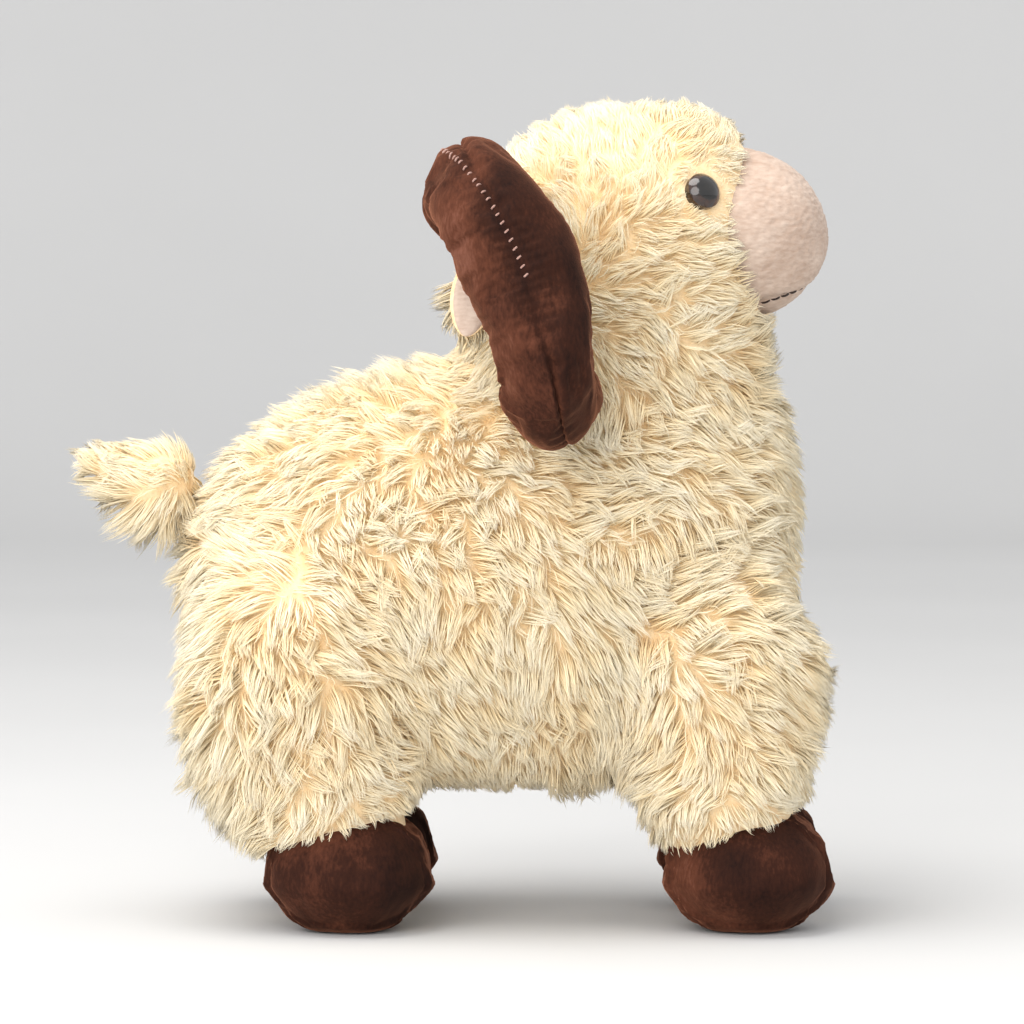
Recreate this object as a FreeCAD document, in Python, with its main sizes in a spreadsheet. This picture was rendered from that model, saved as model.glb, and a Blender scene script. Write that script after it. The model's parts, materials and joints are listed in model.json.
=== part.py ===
"""Plush ram: a stuffed toy of long-pile fur panels over fibre filling, with velour horns and hooves.

Millimetres. The ram faces +X, its left side is +Y and +Z is up. The origin is on the floor, under
the middle of the toy. Right-hand pieces are mirror images of the left-hand ones.
"""
import FreeCAD, Part
import os
import re
from FreeCAD import Placement, Rotation, Vector

SIZES = {
    # torso
    "torso_middle": 14, "torso_rise": 115, "torso_half_length": 106,
    "torso_half_width": 57, "torso_half_height": 72,
    # thickness of a fur panel with its laid pile, and of the short velour and plush
    "pelt": 6, "velour": 1.6, "plush": 3,
    # head and neck, level by level: height, fore-and-aft middle, half depth, half width
    "collar_height": 112, "collar_middle": 57, "collar_depth": 50, "collar_width": 43,
    "throat_height": 165, "throat_middle": 57, "throat_depth": 53, "throat_width": 46,
    "cheek_height": 195, "cheek_middle": 52.5, "cheek_depth": 50, "cheek_width": 45,
    "temple_height": 225, "temple_middle": 54, "temple_depth": 51, "temple_width": 46,
    "brow_height": 250, "brow_middle": 56.5, "brow_depth": 44.5, "brow_width": 41,
    "crown_height": 265, "crown_middle": 58.5, "crown_depth": 31, "crown_width": 29,
    "crest_height": 272, "crest_middle": 60, "crest_depth": 14, "crest_width": 13,
    # where the panels are sewn to each other
    "head_gusset_half_width": 15,
    "belly_gusset_half_width": 24, "belly_gusset_top": 66,
    "belly_gusset_back": -58, "belly_gusset_front": 92,
    # muzzle
    "muzzle_middle": 93, "muzzle_rise": 228,
    "muzzle_half_length": 28, "muzzle_half_width": 31, "muzzle_half_height": 30,
    # mouth line, in degrees round the muzzle and millimetres
    "mouth_reach": 66, "mouth_low": 205, "mouth_peak": 212, "mouth_stitches": 14,
    # eyes: a common 12 mm safety eye
    "eye_forward": 81, "eye_side": 36, "eye_rise": 242,
    "eye_radius": 6, "eye_edge": 3, "eye_dome": 3.4, "pupil_radius": 4.1, "pupil_seat": 0.6,
    "eye_hole_reach": 12, "eye_hole_gap": 0.2, "eye_pocket_reach": 18, "washer_gap": 0.4,
    "shank_radius": 1.8, "shank_length": 13,
    "washer_radius": 7.4, "washer_thickness": 1.5, "washer_depth": 7.4,
    # legs, from the middle of the sole up
    "front_leg_forward": 96, "rear_leg_forward": -35, "leg_side": 33,
    "leg_lean": 9, "leg_splay": 4, "leg_ankle_radius": 27, "leg_top_radius": 32,
    "leg_foot": 14, "leg_length": 64, "leg_inside": 1,
    "hoof_half_length": 28, "hoof_half_width": 24.5, "hoof_half_height": 27, "hoof_rise": 18,
    "sole": 2, "cuff_height": 35, "cuff_slope": 18,
    # horns: a tube bent into a C, in a plane that leans back
    "horn_forward": 20, "horn_side": 69.5, "horn_rise": 208, "horn_lean": 18, "horn_tilt": 13,
    "horn_bend": 19, "horn_tube": 16.5, "horn_tip_tube": 14, "horn_limb": 34,
    "horn_root_turn": 130, "horn_tip_turn": 155, "horn_seam_offset": 0.1,
    "horn_stitches": 12, "horn_stitch_top_turn": 70,
    "horn_stitch_turn": 14, "horn_stitch_drop": 3.6, "horn_stitch_radius": 0.5, "horn_stitch_length": 3,
    # ears
    "ear_forward": 7, "ear_side": 38.5, "ear_rise": 209, "ear_hang": 33, "ear_sweep": 20,
    "ear_half_length": 17, "ear_half_width": 9, "ear_half_thickness": 3.6,
    # tail
    "tail_back": -98.6, "tail_rise": 145, "tail_raise": 20, "tail_radius": 13,
    "tail_tip_radius": 6.5, "tail_length": 20.1,
    # hand-sewn closing under the belly
    "closing_stitches": 9, "closing_pitch": 5, "thread_radius": 0.45, "closing_stitch_length": 6,
    "closing_slope": 17, "closing_inset": 1.2,
}

doc = FreeCAD.newDocument("plush_ram")
sheet = doc.addObject("Spreadsheet::Sheet", "sizes")
for row, (alias, value) in enumerate(SIZES.items(), start=1):
    sheet.set(f"A{row}", alias)
    sheet.set(f"B{row}", str(value))
    sheet.setAlias(f"B{row}", alias)
doc.recompute()

nodes = {}
REACH = 400  # larger than the toy, for the blocks that divide it
STITCH = 2.2  # length of one mouth stitch
HALF_TURN = Rotation(Vector(0, 0, 1), 180)  # puts a closed surface's own edge at the back
# an ellipsoid's poles are kept off its trimmed edges: these put its own Z along +Y or along +X
POLES_SIDEWAYS = Rotation(Vector(-1, 0, 0), Vector(0, 0, 1), Vector(0, 1, 0))
POLES_AHEAD = Rotation(Vector(0, 0, -1), Vector(0, 1, 0), Vector(1, 0, 0))


def size(alias):
    """A driving dimension, as a number."""
    return float(sheet.get(alias))


def bind(item, prop, text):
    """Drive one property from the sheet; words in the text are the sheet's aliases."""
    item.setExpression(prop, re.sub(r"[a-z_]{3,}", lambda word: "sizes." + word.group(0), text))


def shape(kind, name, frame=None, **sizes):
    """A Part object in a frame, with its sizes bound to the sheet."""
    item = doc.addObject("Part::" + kind, name)
    item.Placement = frame or Placement()
    for prop, text in sizes.items():
        bind(item, prop, text)
    return item


def spot(x, y, z, turn=None):
    """A place, and the way round that a thing is there."""
    return Placement(Vector(x, y, z), turn or Rotation())


def fuse(name, *items):
    item = doc.addObject("Part::MultiFuse", name)
    item.Shapes = list(items)
    return item


def common(name, *items):
    item = doc.addObject("Part::MultiCommon", name)
    item.Shapes = list(items)
    return item


def cut(name, base, tool, *more):
    """Base less one tool, or less each of several in turn."""
    item = doc.addObject("Part::Cut", name)
    item.Base = base
    item.Tool = tool
    if more:
        return cut(name + "_again", item, *more)
    return item


def block(name, low, high, frame=None):
    """A box between two corners, to divide a form; a corner's None reaches past the toy."""
    low = [-REACH if value is None else value for value in low]
    high = [REACH if value is None else value for value in high]
    item = doc.addObject("Part::Box", name)
    item.Length, item.Width, item.Height = [top - base for base, top in zip(low, high)]
    item.Placement = (frame or Placement()).multiply(spot(*low))
    return item


def node(name, item):
    """Name an item as a sub-part of the toy."""
    item.Label = name
    nodes[name] = item


def pair(name, item):
    """A left-hand sub-part and its mirror image on the right."""
    node(name + "_left", item)
    mirror = doc.addObject("Part::Mirroring", name + "_mirror")
    mirror.Source = item
    mirror.Normal = Vector(0, 1, 0)
    node(name + "_right", mirror)


def torso_form(name, inset):
    middle = spot(size("torso_middle"), 0, size("torso_rise"), POLES_SIDEWAYS)
    return shape("Ellipsoid", name, middle, Radius1="torso_half_width - " + inset,
                 Radius2="torso_half_length - " + inset, Radius3="torso_half_height - " + inset)


def head_form(name, inset):
    """Head and neck: a loft through level ellipses, each set in by the inset."""
    levels = ("collar", "throat", "cheek", "temple", "brow", "crown", "crest")
    rings = []
    for level in levels:
        ring = shape("Ellipse", f"{name}_{level}", Placement(Vector(), HALF_TURN),
                     MajorRadius=f"{level}_depth - {inset}",
                     MinorRadius=f"{level}_width - {inset}")
        bind(ring, "Placement.Base.x", f"{level}_middle")
        drop = f" - {inset}" if level in ("brow", "crown", "crest") else ""
        bind(ring, "Placement.Base.z", f"{level}_height{drop}")
        rings.append(ring)
    loft = doc.addObject("Part::Loft", name)
    loft.Sections = rings
    loft.MaxDegree = 3
    loft.Solid = True
    return loft


def muzzle(outside):
    """A plush cap over its own filling, sewn on the face, with the mouth stitched across it."""
    middle = spot(size("muzzle_middle"), 0, size("muzzle_rise"), POLES_AHEAD)

    def form(name, inset):
        return shape("Ellipsoid", name, middle, Radius1="muzzle_half_length - " + inset,
                     Radius2="muzzle_half_height - " + inset, Radius3="muzzle_half_width - " + inset)

    filling = form("muzzle_inside", "plush")
    stitches = mouth_stitches()
    cover = cut("muzzle_cap", form("muzzle_outside", "0"), filling, outside, stitches)
    node("muzzle_cover", cover)
    node("muzzle_stuffing", cut("muzzle_filling", filling, outside))
    node("mouth_stitches", stitches)


def mouth_stitches():
    """A dashed line round the front of the muzzle, highest in the middle."""
    count = int(size("mouth_stitches"))
    reach = size("mouth_reach")
    pieces = []
    for number in range(count):
        share = (number + 0.5) / count * 2 - 1
        height = size("mouth_low") + (size("mouth_peak") - size("mouth_low")) * (1 - abs(share))
        turn = Rotation(Vector(0, 0, 1), share * reach)
        drop = (height - size("muzzle_rise")) / size("muzzle_half_height")
        ring = (1 - drop * drop) ** 0.5
        ahead = turn.multVec(Vector(1, 0, 0))
        place = Vector(size("muzzle_middle") + ahead.x * size("muzzle_half_length") * ring,
                       ahead.y * size("muzzle_half_width") * ring, height)
        along = turn.multiply(Rotation(Vector(1, 0, 0), 90))
        frame = Placement(place, along).multiply(spot(0, 0, -STITCH / 2))
        pieces.append(shape("Cylinder", f"mouth_stitch_{number}", frame,
                            Radius="thread_radius", Height=str(STITCH)))
    group = doc.addObject("Part::Compound", "mouth_stitch_row")
    group.Links = pieces
    return group


def eye_frame():
    """Left eye's frame on the face: its own Z points out of the head."""
    place = Vector(size("eye_forward"), size("eye_side"), size("eye_rise"))
    depth = place - Vector(size("temple_middle"), 0, size("temple_height"))
    out = Vector(depth.x / size("temple_depth") ** 2, depth.y / size("temple_width") ** 2,
                 depth.z / (size("crest_height") - size("temple_height")) ** 2)
    return Placement(place, Rotation(Vector(0, 0, 1), out))


def eye():
    """Safety eye: a brown dome on a shank, a black pupil set in it, and the washer inside the head."""
    frame = eye_frame()
    edge = size("eye_edge")
    dome_radius = (size("eye_radius") ** 2 + size("eye_dome") ** 2) / (2 * size("eye_dome"))
    ball = doc.addObject("Part::Sphere", "eye_ball")
    ball.Radius = dome_radius
    ball.Placement = frame.multiply(spot(0, 0, size("eye_dome") - dome_radius))
    rim = shape("Cylinder", "eye_rim", frame.multiply(spot(0, 0, -edge)),
                Radius="eye_radius", Height="eye_edge + eye_dome")
    dome = common("eye_front", ball, rim)
    flange = shape("Cylinder", "eye_flange", frame.multiply(spot(0, 0, -edge)),
                   Radius="eye_radius", Height="eye_edge")
    well = shape("Cylinder", "pupil_well", frame.multiply(spot(0, 0, size("pupil_seat"))),
                 Radius="pupil_radius", Height="eye_dome * 2")
    shank = shape("Cylinder", "eye_shank", frame.multiply(spot(0, 0, -edge - size("shank_length"))),
                  Radius="shank_radius", Height="shank_length + eye_edge")
    pair("eye_pupil", common("pupil", dome, well))
    pair("eye_iris", cut("iris", fuse("eye_body", dome, flange, shank), well))
    seat = frame.multiply(spot(0, 0, -size("washer_depth") - size("washer_thickness")))
    disc = shape("Cylinder", "washer_disc", seat, Radius="washer_radius", Height="washer_thickness")
    pair("eye_washer", cut("washer", disc, shank))


def eye_rooms():
    """What each eye takes out of the face panel, and its washer and shank out of the filling."""
    frame = eye_frame()
    hole = shape("Cylinder", "eye_hole", frame.multiply(spot(0, 0, -size("eye_hole_reach"))),
                 Radius="eye_radius + eye_hole_gap", Height="eye_hole_reach * 2")
    pocket = shape("Cylinder", "eye_pocket", frame.multiply(spot(0, 0, -size("eye_pocket_reach"))),
                   Radius="washer_radius + washer_gap", Height="eye_pocket_reach + eye_hole_reach")
    mirror = doc.addObject("Part::Mirroring", "eye_pocket_mirror")
    mirror.Source = pocket
    mirror.Normal = Vector(0, 1, 0)
    return hole, pocket, mirror


def torso_panels(outside, inside, neck_inside):
    """Fur panels of the torso over its filling, open at the neck and under the belly's gusset."""
    gusset = size("belly_gusset_half_width")
    shell = cut("torso_shell", outside, inside)
    closing = closing_stitches()
    belly = block("belly_region", (size("belly_gusset_back"), -gusset, 0),
                  (size("belly_gusset_front"), gusset, size("belly_gusset_top")))
    node("belly_gusset", cut("belly_panel", common("belly_part", shell, belly), closing))
    node("closing_stitches", closing)
    half = common("torso_half", shell, block("torso_region", (None, 0, None), (None, None, None)))
    pair("torso_panel", cut("torso_side", half, belly, closing, neck_inside))
    node("torso_stuffing", inside)


def head_panels(outside, inside, torso_outside, torso_inside):
    """Fur panels of head and neck, sewn to the torso round the neck, over their filling."""
    gusset = size("head_gusset_half_width")
    shell = cut("head_shell", outside, inside)
    above = cut("head_above_torso", shell, torso_outside)
    node("head_gusset", common("head_strip", above, block("head_middle", (None, -gusset, None),
                                                          (None, gusset, None))))
    hole, pocket, mirror_pocket = eye_rooms()
    face = common("head_part", above, block("head_region", (None, gusset, None),
                                            (None, None, None)))
    pair("head_panel", cut("head_side", face, hole))
    node("head_stuffing", cut("head_filling", inside, torso_inside, pocket, mirror_pocket))


def closing_stitches():
    """Ladder stitches over the opening that the filling went in by, along the gusset's edge."""
    count = int(size("closing_stitches"))
    start = size("torso_middle") - (count - 1) / 2 * size("closing_pitch")
    edge = size("belly_gusset_half_width")
    share = edge / size("torso_half_width")
    height = size("torso_rise") - size("torso_half_height") * (1 - share * share) ** 0.5
    length = size("closing_stitch_length")
    slope = Rotation(Vector(1, 0, 0), size("closing_slope") - 90)
    pieces = []
    for number in range(count):
        middle = Placement(Vector(start + number * size("closing_pitch"), edge,
                                  height + size("closing_inset")), slope)
        frame = middle.multiply(spot(0, 0, -length / 2))
        pieces.append(shape("Cylinder", f"closing_stitch_{number}", frame,
                            Radius="thread_radius", Height="closing_stitch_length"))
    group = doc.addObject("Part::Compound", "closing_stitch_row")
    group.Links = pieces
    return group


def leg(place, outside):
    """One left leg: fur sleeve, velour hoof with a flat sole, and one filling for both."""
    foot = spot(size(place + "_leg_forward"), size("leg_side"), 0)
    lean = Rotation(Vector(0, 1, 0), -size("leg_lean")).multiply(
        Rotation(Vector(1, 0, 0), size("leg_splay")))
    axis = foot.multiply(Placement(Vector(), lean)).multiply(spot(0, 0, size("leg_foot")))
    slant = foot.multiply(spot(0, 0, size("cuff_height"), Rotation(Vector(0, 1, 0),
                                                                    -size("cuff_slope"))))

    def sleeve(name, inset):
        cone = shape("Cone", name + "_cone", axis, Radius1="leg_ankle_radius - " + inset,
                     Radius2="leg_top_radius - " + inset, Height="leg_length")
        thigh = shape("Sphere", name + "_thigh", axis.multiply(spot(0, 0, size("leg_length"))),
                      Radius="leg_top_radius - " + inset)
        return fuse(name, cone, thigh)

    def hoof(name, inset):
        return shape("Ellipsoid", name, foot.multiply(spot(0, 0, size("hoof_rise"))),
                     Radius1="hoof_half_height - " + inset, Radius2="hoof_half_length - " + inset,
                     Radius3="hoof_half_width - " + inset)

    above = block(place + "_above_cuff", (None, None, 0), (None, None, None), slant)
    aside = block(place + "_own_side", (None, size("leg_inside"), None), (None, None, None))
    below = block(place + "_below_cuff", (None, None, None), (None, None, 0), slant)
    standing = block(place + "_above_sole", (None, None, size("sole")), (None, None, None))
    under = block(place + "_sole_slab", (None, None, 0), (None, None, size("sole")))
    inner_sleeve = sleeve(place + "_sleeve_inside", "pelt")
    inner_hoof = hoof(place + "_hoof_inside", "velour")
    wall = cut(place + "_sleeve", sleeve(place + "_sleeve_outside", "0"), inner_sleeve, outside)
    pair(place + "_leg_cover", common(place + "_sleeve_part", wall, above, aside))
    form = hoof(place + "_hoof_outside", "0")
    hoof_wall = cut(place + "_hoof_wall", form, inner_hoof)
    pair(place + "_hoof_cover", common(place + "_hoof_part", hoof_wall, below, standing))
    pair(place + "_hoof_sole", common(place + "_sole_part", form, under))
    upper = common(place + "_upper_fill", cut(place + "_sleeve_fill", inner_sleeve, outside),
                   above, aside)
    lower = common(place + "_lower_fill", inner_hoof, below, standing)
    pair(place + "_leg_stuffing", fuse(place + "_fill", upper, lower))


def horn_frame():
    """Left horn's frame: its own X is across the curl, Y points outwards and Z up."""
    turn = Rotation(Vector(0, 1, 0), -size("horn_lean")).multiply(
        Rotation(Vector(1, 0, 0), size("horn_tilt")))
    return spot(size("horn_forward"), size("horn_side"), size("horn_rise"), turn)


def horn_form(name, inset):
    """A C of tube: arc over the top from the root, limb down the outside, arc in to the tip."""
    frame = horn_frame()
    flat = Rotation(Vector(1, 1, 1), 120)
    half = size("horn_limb") / 2
    tip = size("horn_tip_turn")

    def arc(part, rise, turn, sweep, tube):
        place = frame.multiply(spot(0, 0, rise, flat.multiply(Rotation(Vector(0, 0, 1), turn))))
        return shape("Torus", f"{name}_{part}", place, Radius1="horn_bend",
                     Radius2=f"{tube} - {inset}", Angle3=sweep)

    def end(part, rise, turn, tube):
        out = Rotation(Vector(1, 0, 0), turn).multVec(Vector(0, size("horn_bend"), 0))
        return shape("Sphere", f"{name}_{part}", frame.multiply(spot(0, out.y, rise + out.z)),
                     Radius=f"{tube} - {inset}")

    limb = shape("Cone", name + "_limb", frame.multiply(spot(0, size("horn_bend"), -half)),
                 Radius1="horn_tip_tube - " + inset, Radius2="horn_tube - " + inset,
                 Height="horn_limb")
    return fuse(name, arc("top_arc", half, 0, "horn_root_turn", "horn_tube"), limb,
                arc("tip_arc", -half, -tip, "horn_tip_turn", "horn_tip_tube"),
                end("root", half, size("horn_root_turn"), "horn_tube"),
                end("tip", -half, -tip, "horn_tip_tube"))


def horn():
    """Two velour panels over filling, with a hand-sewn seam down the outer rim."""
    frame = horn_frame()
    inside = horn_form("horn_inside", "velour")
    stitches = horn_stitches()
    shell = cut("horn_shell", horn_form("horn_outside", "0"), inside, stitches)
    seam = size("horn_seam_offset")
    pair("horn_front_panel", common("horn_front", shell, block("horn_fore", (seam, None, None),
                                                               (None, None, None), frame)))
    pair("horn_back_panel", common("horn_back", shell, block("horn_aft", (None, None, None),
                                                             (seam, None, None), frame)))
    pair("horn_stuffing", inside)
    pair("horn_stitches", stitches)


def horn_stitches():
    """Short threads across the rim seam, over the top arc and part of the limb."""
    frame = horn_frame()
    count = int(size("horn_stitches"))
    length = size("horn_stitch_length")
    rim = size("horn_bend") + size("horn_tube")
    pieces = []
    for number in range(count):
        turn = size("horn_stitch_top_turn") - number * size("horn_stitch_turn")
        if turn >= 0:
            out = Rotation(Vector(1, 0, 0), turn).multVec(Vector(0, rim, 0))
            place = spot(-length / 2, out.y, size("horn_limb") / 2 + out.z)
        else:
            drop = -turn / size("horn_stitch_turn") * size("horn_stitch_drop")
            taper = (size("horn_tube") - size("horn_tip_tube")) * drop / size("horn_limb")
            place = spot(-length / 2, rim - taper, size("horn_limb") / 2 - drop)
        across = frame.multiply(place).multiply(Placement(Vector(), Rotation(Vector(0, 1, 0), 90)))
        pieces.append(shape("Cylinder", f"horn_stitch_{number}", across,
                            Radius="horn_stitch_radius", Height="horn_stitch_length"))
    group = doc.addObject("Part::Compound", "horn_stitch_row")
    group.Links = pieces
    return group


def ear():
    """A flat leaf, fur behind and plush in front, hanging out and down from the head."""
    turn = Rotation(Vector(0, 0, 1), size("ear_sweep")).multiply(
        Rotation(Vector(1, 0, 0), size("ear_hang")))
    frame = spot(size("ear_forward"), size("ear_side"), size("ear_rise"), turn)
    flat = Rotation(Vector(0, 0, 1), Vector(1, 0, 0), Vector(0, 1, 0))
    leaf = shape("Ellipsoid", "ear_leaf", frame.multiply(Placement(Vector(), flat)),
                 Radius1="ear_half_thickness", Radius2="ear_half_length",
                 Radius3="ear_half_width")
    pair("ear_back", common("ear_fur", leaf, block("ear_inner", (None, None, None),
                                                   (None, 0, None), frame)))
    pair("ear_lining", common("ear_plush", leaf, block("ear_outer", (None, 0, None),
                                                       (None, None, None), frame)))


def tail():
    """A blunt cone of two fur panels over filling, round at the end that meets the body."""
    frame = spot(size("tail_back"), 0, size("tail_rise"), Rotation(Vector(0, 1, 0),
                                                                   size("tail_raise")))
    back = frame.multiply(Placement(Vector(), Rotation(Vector(0, 1, 0), -90)))

    def form(name, inset):
        root = shape("Sphere", name + "_root", frame, Radius="tail_radius - " + inset)
        cone = shape("Cone", name + "_cone", back, Radius1="tail_radius - " + inset,
                     Radius2="tail_tip_radius - " + inset, Height="tail_length")
        tip = shape("Sphere", name + "_tip", frame.multiply(spot(-size("tail_length"), 0, 0)),
                    Radius="tail_tip_radius - " + inset)
        return fuse(name, root, cone, tip)

    inside = form("tail_inside", "pelt * 0.5")
    shell = cut("tail_shell", form("tail_outside", "0"), inside)
    node("tail_upper_panel", common("tail_upper", shell, block(
        "tail_above", (None, None, 0), (None, None, None), frame)))
    node("tail_lower_panel", common("tail_lower", shell, block(
        "tail_below", (None, None, None), (None, None, 0), frame)))
    node("tail_stuffing", inside)


def check_and_write():
    """Stop if anything failed to build, then write each sub-part."""
    doc.recompute()
    for item in doc.Objects:
        if "Invalid" in item.State or "Error" in item.State:
            raise RuntimeError(f"{item.Label} did not build: {item.State}")
    for name, item in nodes.items():
        if item.Shape.isNull() or not item.Shape.isValid():
            raise RuntimeError(f"{name} has no valid shape")
    os.makedirs("parts", exist_ok=True)
    for name, item in nodes.items():
        item.Shape.exportStep(f"parts/{name}.step")
        print(f"{name}: {len(item.Shape.Solids)} solid(s), {item.Shape.Volume / 1000:.2f} cm3")


torso_outside = torso_form("torso_outside", "0")
torso_inside = torso_form("torso_inside", "pelt")
head_outside = head_form("head_outside", "0")
head_inside = head_form("head_inside", "pelt")
torso_panels(torso_outside, torso_inside, head_inside)
head_panels(head_outside, head_inside, torso_outside, torso_inside)
muzzle(head_outside)
eye()
for leg_place in ("front", "rear"):
    leg(leg_place, torso_outside)
horn()
ear()
tail()
check_and_write()
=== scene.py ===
"""Looks of a stuffed ram: long cream pile, velour horns and hooves, a crinkled plush muzzle."""
import json
import math

import bmesh
import bpy
import numpy as np
from mathutils import Matrix, Vector, noise
from mathutils.bvhtree import BVHTree
from mathutils.kdtree import KDTree

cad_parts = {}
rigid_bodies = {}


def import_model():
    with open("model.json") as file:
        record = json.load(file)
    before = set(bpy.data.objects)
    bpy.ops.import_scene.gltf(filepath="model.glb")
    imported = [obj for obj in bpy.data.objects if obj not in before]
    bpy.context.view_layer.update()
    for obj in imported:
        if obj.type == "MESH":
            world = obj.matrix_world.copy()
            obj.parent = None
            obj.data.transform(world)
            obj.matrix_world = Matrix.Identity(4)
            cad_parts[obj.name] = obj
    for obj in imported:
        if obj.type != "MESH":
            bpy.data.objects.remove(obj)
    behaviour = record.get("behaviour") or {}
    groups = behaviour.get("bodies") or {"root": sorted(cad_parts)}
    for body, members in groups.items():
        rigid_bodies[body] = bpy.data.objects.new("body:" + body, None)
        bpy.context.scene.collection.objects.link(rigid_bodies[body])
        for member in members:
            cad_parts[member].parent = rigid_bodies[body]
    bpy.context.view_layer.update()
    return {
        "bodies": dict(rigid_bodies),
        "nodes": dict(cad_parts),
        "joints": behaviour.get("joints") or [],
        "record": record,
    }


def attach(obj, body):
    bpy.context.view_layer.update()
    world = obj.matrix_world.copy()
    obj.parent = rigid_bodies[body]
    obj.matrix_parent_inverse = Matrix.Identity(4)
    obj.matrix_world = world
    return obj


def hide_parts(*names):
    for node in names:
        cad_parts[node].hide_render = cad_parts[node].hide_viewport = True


MM = 0.001
SIDES = (("left", 1), ("right", -1))
SEED = 20

# pile
PILE_PER_SQUARE_MM = 1.45
HAIR_WIDTH = 0.35
TUFT_SPACING = 5.2
WISP_SPACING = 1.4
HAIR_SOFTNESS = 0.5
HAIR_STEPS = (0.0, 0.4, 0.75, 1.0)
MOST_HAIRS_PER_PIECE = 12400
SKIN_DEPTH = 4.2
FACE_SKIN_DEPTH = 1.2
CHEST_SLACK = 5
BELLY_FULLNESS = 3

# Lie of the pile on the side of the body, seen from the side:
# place x and z, direction x and z, reach, length (all mm), and how far it stands up (0 to 1)
BODY_LIE = (
    (-84, 150, -0.8, -0.2, 14, 14, 0.6),
    (-60, 168, -0.7, -0.1, 18, 11, 0.6),
    (-15, 185, -0.4, 0.1, 20, 13, 0.9),
    (-30, 150, 0.1, -0.6, 18, 13, 0.6),
    (20, 170, 0.1, -0.7, 18, 13, 0.6),
    (-90, 95, -0.4, -0.9, 13, 14, 0.5),
    (-68, 88, -0.35, -1.0, 11, 15, 0.5),
    (-52, 84, 0.3, -1.0, 11, 16, 0.5),
    (-34, 92, 0.75, -0.7, 11, 16, 0.5),
    (-26, 112, 1.0, -0.2, 11, 15, 0.5),
    (-64, 128, -0.4, 0.1, 11, 11, 0.6),
    (-30, 55, 0.75, -0.75, 13, 14, 0.45),
    (-52, 48, 0.0, -1.0, 12, 13, 0.45),
    (-78, 48, -0.7, -0.8, 12, 17, 0.5),
    (0, 130, 0.6, -0.7, 18, 14, 0.5),
    (8, 95, 0.3, -0.95, 14, 12, 0.4),
    (20, 66, 0.3, -1.0, 13, 10, 0.3),
    (20, 44, 0.4, -0.6, 12, 11, 0.7),
    (45, 135, 0.8, -0.5, 16, 15, 0.5),
    (45, 95, 0.7, -0.7, 14, 15, 0.5),
    (60, 60, 0.0, -1.0, 12, 13, 0.45),
    (75, 125, 0.97, -0.15, 14, 16, 0.5),
    (104, 135, 0.8, -0.5, 12, 11, 0.45),
    (116, 112, 0.4, -1.0, 10, 8, 0.2),
    (95, 98, 0.9, -0.45, 12, 15, 0.5),
    (112, 70, 1.0, -0.1, 12, 12, 0.45),
    (100, 52, 0.75, -0.6, 10, 13, 0.5),
    (78, 48, -0.1, -1.0, 10, 12, 0.45),
    (66, 78, -0.2, -0.9, 10, 12, 0.45),
    (80, 165, 0.9, -0.1, 14, 13, 0.55),
    (45, 165, 0.5, -0.6, 14, 13, 0.55),
    (75, 195, 0.85, 0.1, 12, 11, 0.45),
    (60, 215, 0.7, 0.5, 12, 11, 0.5),
    (92, 203, 0.9, 0.1, 8, 7, 0.4),
    (92, 244, 0.9, 0.3, 9, 4.5, 0.3),
    (78, 258, 0.5, 0.8, 10, 6, 0.5),
    (50, 270, -0.1, 1.0, 14, 7, 0.9),
    (22, 258, -0.6, 0.6, 12, 8, 0.75),
    (12, 225, -0.9, 0.1, 12, 10, 0.55),
    (10, 195, -0.8, -0.4, 12, 11, 0.5),
)

# eyes, from the CAD
EYE = (81, 36, 242)
EYE_CLEAR = 6.8
EYE_SHORT = 14

# muzzle, from the CAD
MUZZLE_MIDDLE = (93, 0, 228)
MUZZLE_HALF = (28, 31, 30)
MOUTH_LOW = 205
MOUTH_PEAK = 212
MOUTH_REACH = 66
MOUTH_STITCHES = 13

# horns, from the CAD
HORN_MIDDLE = (20, 69.5, 208)
HORN_LEAN = 18
HORN_TILT = 13
HORN_BEND = 19
HORN_TUBE = 16.5
HORN_TIP_TUBE = 14
HORN_LIMB = 34
HORN_ROOT_TURN = 130
HORN_ROOT_REACH = 36
HORN_ROOT_LEAD = 6
HORN_TIP_TURN = 155
HORN_TIP_LIFT = 4.5
HORN_FORWARD = 5
HORN_BOW = 6.5
HORN_LOW_BOW = 13
HORN_TOP_SLIM = 0.18
HORN_STITCH_PITCH = 3.0
HORN_STITCHES = 23
HORN_STITCH_START = 76
HORN_STITCH_SHARE = 0.4

# hooves and legs, from the CAD
LEG_FORWARD = {"front": 96, "rear": -35}
LEG_SIDE = 33
HOOF_HALF = (28, 24.5, 27)
HOOF_RISE = 18
CUFF_HEIGHT = 35
CUFF_SLOPE = 18
CUFF_SHORT = 0.36
CUFF_SHORT_BEHIND = 0.6
HOOF_SEAM = 9.5
HOOF_TAPER = 0.3

# ears and tail, from the CAD
EAR_MIDDLE = (7, 38.5, 209)
EAR_SWEEP = 20
EAR_HANG = 33
EAR_HALF = (9, 3.6, 17)
TAIL_PIVOT = (-98.6, 0, 145)


def millimetres(place):
    return Vector(place) * MM


def turn(degrees, axis):
    return Matrix.Rotation(math.radians(degrees), 4, axis)


# ---------------------------------------------------------------- materials

def node_material(name, roughness, sheen=0.0, sheen_roughness=0.4, sheen_tint=(1, 1, 1)):
    """A material with its shader's plain values set; returns it with its tree and shader."""
    material = bpy.data.materials.new(name)
    material.use_nodes = True
    tree = material.node_tree
    shader = tree.nodes["Principled BSDF"]
    shader.inputs["Roughness"].default_value = roughness
    shader.inputs["Sheen Weight"].default_value = sheen
    shader.inputs["Sheen Roughness"].default_value = sheen_roughness
    shader.inputs["Sheen Tint"].default_value = (*sheen_tint, 1)
    shader.inputs["Specular IOR Level"].default_value = 0.25
    return material, tree, shader


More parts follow.
